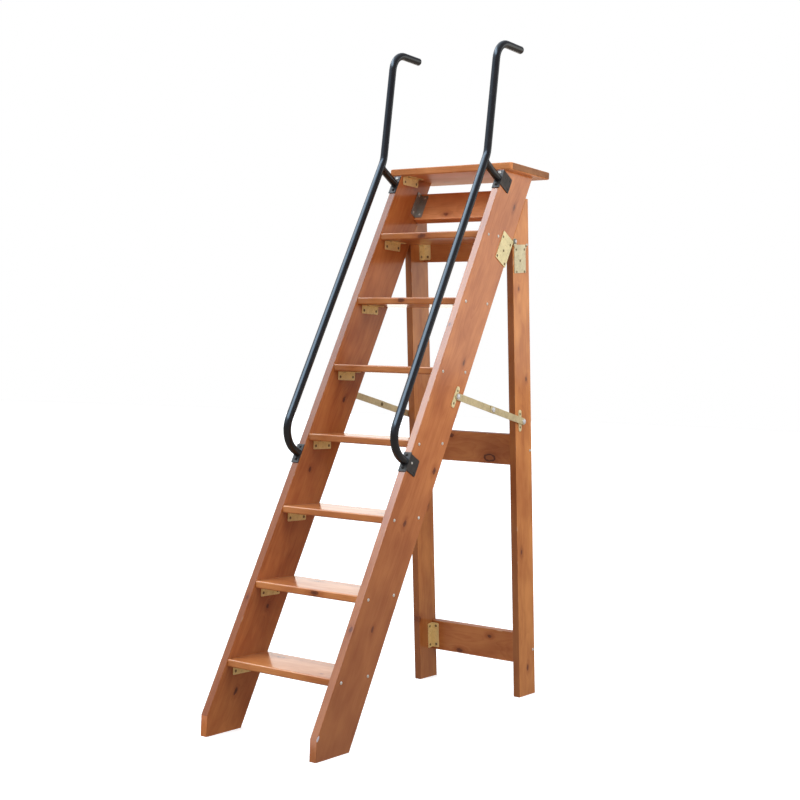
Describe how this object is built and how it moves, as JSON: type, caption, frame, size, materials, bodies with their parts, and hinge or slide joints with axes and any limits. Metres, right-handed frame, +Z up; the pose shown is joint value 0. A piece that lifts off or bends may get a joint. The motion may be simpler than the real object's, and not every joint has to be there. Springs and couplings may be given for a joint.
{
  "type": "library ladder",
  "caption": "Folding wooden step ladder with flat treads, a top platform, a hinged rear frame, folding side stays and tubular hand grips.",
  "frame": {"origin": "on the floor, under the middle of the open ladder's outline", "axes": "+Z up, +Y towards the rear frame, +X to the right of someone climbing"},
  "size_m": [0.546, 1.3722, 2.449],
  "materials": {
    "pine": "satin varnish",
    "brass": "satin brass plating",
    "zinc": "bright zinc plating",
    "dark_steel": "dark satin steel",
    "grey_steel": "dull galvanised steel",
    "black_paint": "gloss black"
  },
  "bodies": {
    "root": {"platform": "pine", "upper_back_rail": "pine", "tread_1": "pine", "tread_2": "pine", "tread_3": "pine", "tread_4": "pine", "tread_5": "pine", "tread_6": "pine", "tread_7": "pine", "stringer_left": "pine", "platform_bracket_left": "brass", "upper_rail_bracket_left": "grey_steel", "tread_bracket_1_left": "brass", "tread_bracket_2_left": "brass", "tread_bracket_3_left": "brass", "tread_bracket_4_left": "brass", "tread_bracket_5_left": "brass", "tread_bracket_6_left": "brass", "tread_bracket_7_left": "brass", "hinge_front_plate_left": "brass", "stay_ear_front_left": "brass", "handrail_left": "black_paint", "handrail_bracket_lower_left": "dark_steel", "handrail_bracket_upper_left": "dark_steel", "stringer_right": "pine", "platform_bracket_right": "brass", "upper_rail_bracket_right": "grey_steel", "tread_bracket_1_right": "brass", "tread_bracket_2_right": "brass", "tread_bracket_3_right": "brass", "tread_bracket_4_right": "brass", "tread_bracket_5_right": "brass", "tread_bracket_6_right": "brass", "tread_bracket_7_right": "brass", "hinge_front_plate_right": "brass", "stay_ear_front_right": "brass", "handrail_right": "black_paint", "handrail_bracket_lower_right": "dark_steel", "handrail_bracket_upper_right": "dark_steel"},
    "rear_frame": {"rear_rail_bottom": "pine", "rear_rail_middle": "pine", "rear_rail_top": "pine", "rear_leg_left": "pine", "rear_rail_bracket_bottom_left": "brass", "rear_rail_bracket_middle_left": "brass", "rear_rail_bracket_top_left": "brass", "hinge_rear_plate_left": "brass", "hinge_pin_left": "zinc", "stay_ear_rear_left": "brass", "rear_leg_right": "pine", "rear_rail_bracket_bottom_right": "brass", "rear_rail_bracket_middle_right": "brass", "rear_rail_bracket_top_right": "brass", "hinge_rear_plate_right": "brass", "hinge_pin_right": "zinc", "stay_ear_rear_right": "brass"},
    "front_link_left": {"stay_link_front_left": "brass"},
    "rear_link_left": {"stay_link_rear_left": "brass"},
    "front_link_right": {"stay_link_front_right": "brass"},
    "rear_link_right": {"stay_link_rear_right": "brass"}
  },
  "joints": [
    {"name": "rear_frame_swing", "type": "hinge", "parent": "root", "child": "rear_frame", "pos_m": [0, 0.38349, 1.72463], "axis": [-1, 0, 0], "range_deg": [0, 33.6]},
    {"name": "front_link_left_turn", "type": "hinge", "parent": "root", "child": "front_link_left", "pos_m": [-0.243, 0.03661, 1.14631], "axis": [1, 0, 0], "range_deg": [0, 55.5]},
    {"name": "rear_link_left_turn", "type": "hinge", "parent": "rear_frame", "child": "rear_link_left", "pos_m": [-0.243, 0.49687, 1.05765], "axis": [-1, 0, 0], "range_deg": [0, 70.85]},
    {"name": "front_link_right_turn", "type": "hinge", "parent": "root", "child": "front_link_right", "pos_m": [0.243, 0.03661, 1.14631], "axis": [1, 0, 0], "range_deg": [0, 55.5]},
    {"name": "rear_link_right_turn", "type": "hinge", "parent": "rear_frame", "child": "rear_link_right", "pos_m": [0.243, 0.49687, 1.05765], "axis": [-1, 0, 0], "range_deg": [0, 70.85]}
  ],
  "couplings": [
    {"joint": "front_link_left_turn", "follows": "rear_frame_swing", "ratio": 1.6502},
    {"joint": "rear_link_left_turn", "follows": "rear_frame_swing", "ratio": 2.1071},
    {"joint": "front_link_right_turn", "follows": "rear_frame_swing", "ratio": 1.6502},
    {"joint": "rear_link_right_turn", "follows": "rear_frame_swing", "ratio": 2.1071}
  ]
}
